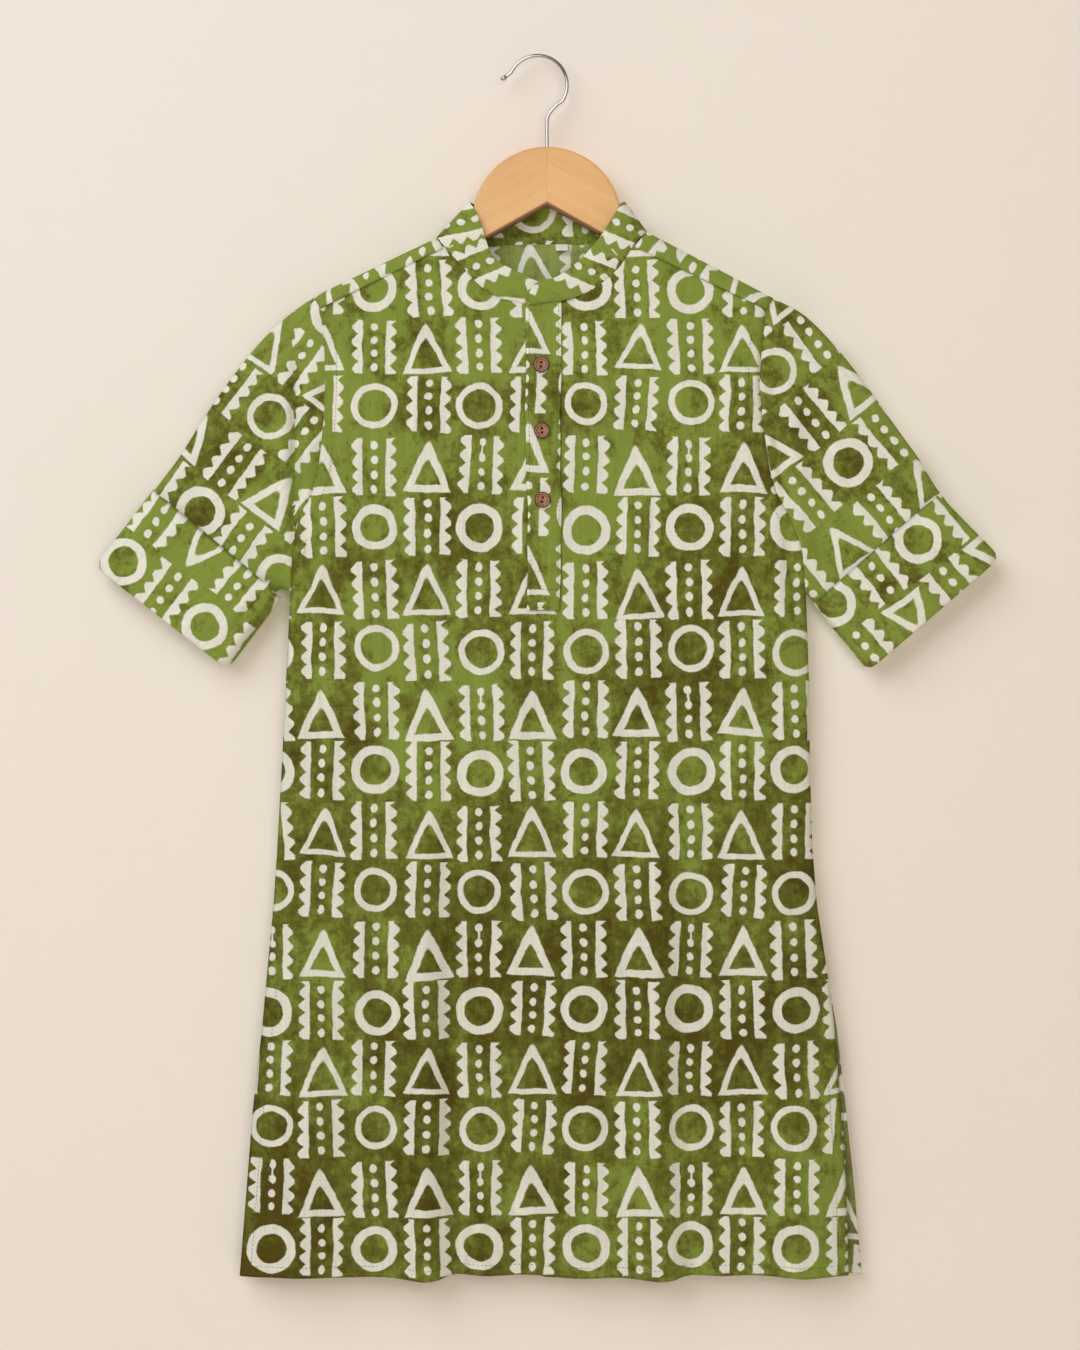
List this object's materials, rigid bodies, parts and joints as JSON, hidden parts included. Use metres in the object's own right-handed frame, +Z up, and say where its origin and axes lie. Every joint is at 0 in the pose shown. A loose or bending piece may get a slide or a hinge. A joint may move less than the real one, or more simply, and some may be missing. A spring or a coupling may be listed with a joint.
{
  "type": "kurta tunic on a wooden hanger",
  "caption": "Short-sleeved cotton kurta in olive green with off-white block-printed figures, stand collar, buttoned half placket and turned-up cuffs, hung flat on a wooden hanger.",
  "frame": {"origin": "inside the crown of the hook, where the top of a rail bears on it", "axes": "+Z up, +X towards the wearer's left sleeve, which is on the right seen from the front, -Y out of the front of the kurta"},
  "size_m": [0.6432, 0.0285, 0.884],
  "materials": {
    "green_cotton": "slubby plain-weave cotton, resist-dyed a mottled olive green, block-printed in off-white",
    "white_tape": "plain woven off-white tape",
    "brown_button": "turned and waxed, reddish-brown face in a darker rim",
    "pale_wood": "honey-coloured beech under satin lacquer",
    "steel": "polished wire"
  },
  "bodies": {
    "root": {"front_panel": "green_cotton", "back_panel": "green_cotton", "sleeve_left": "green_cotton", "sleeve_right": "green_cotton", "cuff_left": "green_cotton", "cuff_right": "green_cotton", "collar": "green_cotton", "placket_over": "green_cotton", "placket_under": "green_cotton", "loop_label": "white_tape", "button_1": "brown_button", "button_2": "brown_button", "button_3": "brown_button", "hanger_arm_left": "pale_wood", "hanger_arm_right": "pale_wood", "hanger_hook": "steel"}
  },
  "joints": []
}
